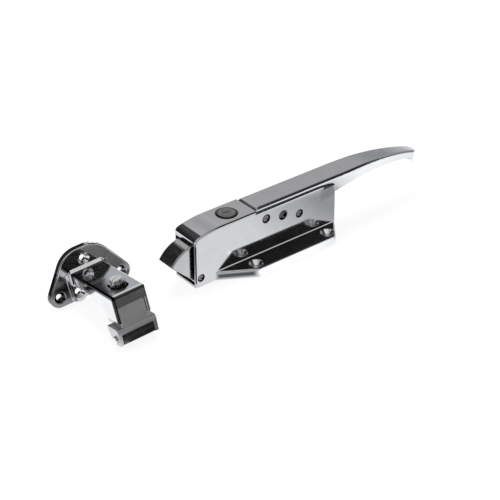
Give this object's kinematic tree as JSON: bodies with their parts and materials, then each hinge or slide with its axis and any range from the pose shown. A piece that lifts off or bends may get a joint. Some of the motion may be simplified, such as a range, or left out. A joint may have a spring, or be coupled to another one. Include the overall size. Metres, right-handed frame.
{
  "type": "spring latch",
  "caption": "Surface-mounted chrome spring latch with a key lock, curved bolt and lever handle, and its roller strike with an adjusting screw.",
  "frame": {"origin": "middle of the four screw holes of the latch, on the back face of its flange", "axes": "+X along the latch to the tip of the handle, +Z away from the door, +Y completes the right hand; the bolt points along -X"},
  "size_m": [0.4283, 0.1074, 0.0593],
  "materials": {
    "chrome_casting": "bright plated, finely brushed on the faces",
    "chrome_steel": "bright plated",
    "zinc_steel": "zinc plated",
    "spring_steel": "drawn wire",
    "brass_nut": "turned",
    "satin_zinc": "satin casting",
    "black_rubber": "smooth, hard"
  },
  "bodies": {
    "frame": {"latch_housing": "chrome_casting", "lock_barrel": "chrome_steel", "lock_nut": "brass_nut", "handle_pivot_screw": "zinc_steel", "stop_screw": "zinc_steel", "bolt_pivot_pin": "zinc_steel", "bolt_spacers": "zinc_steel", "bolt_spring": "spring_steel", "strike_base": "chrome_casting", "strike_flat_washer": "zinc_steel"},
    "lever": {"handle": "chrome_casting"},
    "bolt": {"bolt": "chrome_casting", "bolt_drive_pin": "zinc_steel"},
    "lock": {"lock_plug": "chrome_steel", "lock_cam": "zinc_steel", "lock_cam_screw": "zinc_steel"},
    "adjuster": {"strike_screw": "zinc_steel", "strike_spacer_nut": "zinc_steel", "strike_tooth_washer": "zinc_steel"},
    "slider": {"strike_slider": "satin_zinc", "strike_roller_pin": "zinc_steel"},
    "roller": {"strike_roller": "black_rubber"}
  },
  "joints": [
    {"name": "handle_swing", "type": "hinge", "parent": "frame", "child": "lever", "pos_m": [-0.0236, 0, 0.0457], "axis": [0, -1, 0], "range_deg": [0, 20]},
    {"name": "bolt_swing", "type": "hinge", "parent": "frame", "child": "bolt", "pos_m": [-0.1039, 0, 0.0096], "axis": [0, 1, 0], "range_deg": [0, 48.5], "stiffness_Nm_per_rad": 0.6, "springref_deg": -51.57, "deforming": ["bolt_spring"]},
    {"name": "lock_turn", "type": "hinge", "parent": "frame", "child": "lock", "pos_m": [-0.0599, 0, 0.058], "axis": [0, 0, 1], "range_deg": [0, 90]},
    {"name": "strike_screw_turn", "type": "hinge", "parent": "frame", "child": "adjuster", "pos_m": [-0.20544, -0.02589, 0.0489], "axis": [-0.0824, 0.2352, 0.9685], "continuous": true},
    {"name": "strike_slide", "type": "slide", "parent": "frame", "child": "slider", "axis": [-0.0824, 0.2352, 0.9685], "range_m": [-0.004, 0.005]},
    {"name": "roller_spin", "type": "hinge", "parent": "slider", "child": "roller", "pos_m": [-0.20314, -0.04841, 0.00923], "axis": [0.991, -0.0832, 0.1045], "continuous": true}
  ],
  "couplings": [
    {"joint": "bolt_swing", "follows": "handle_swing", "ratio": 2.4}
  ]
}
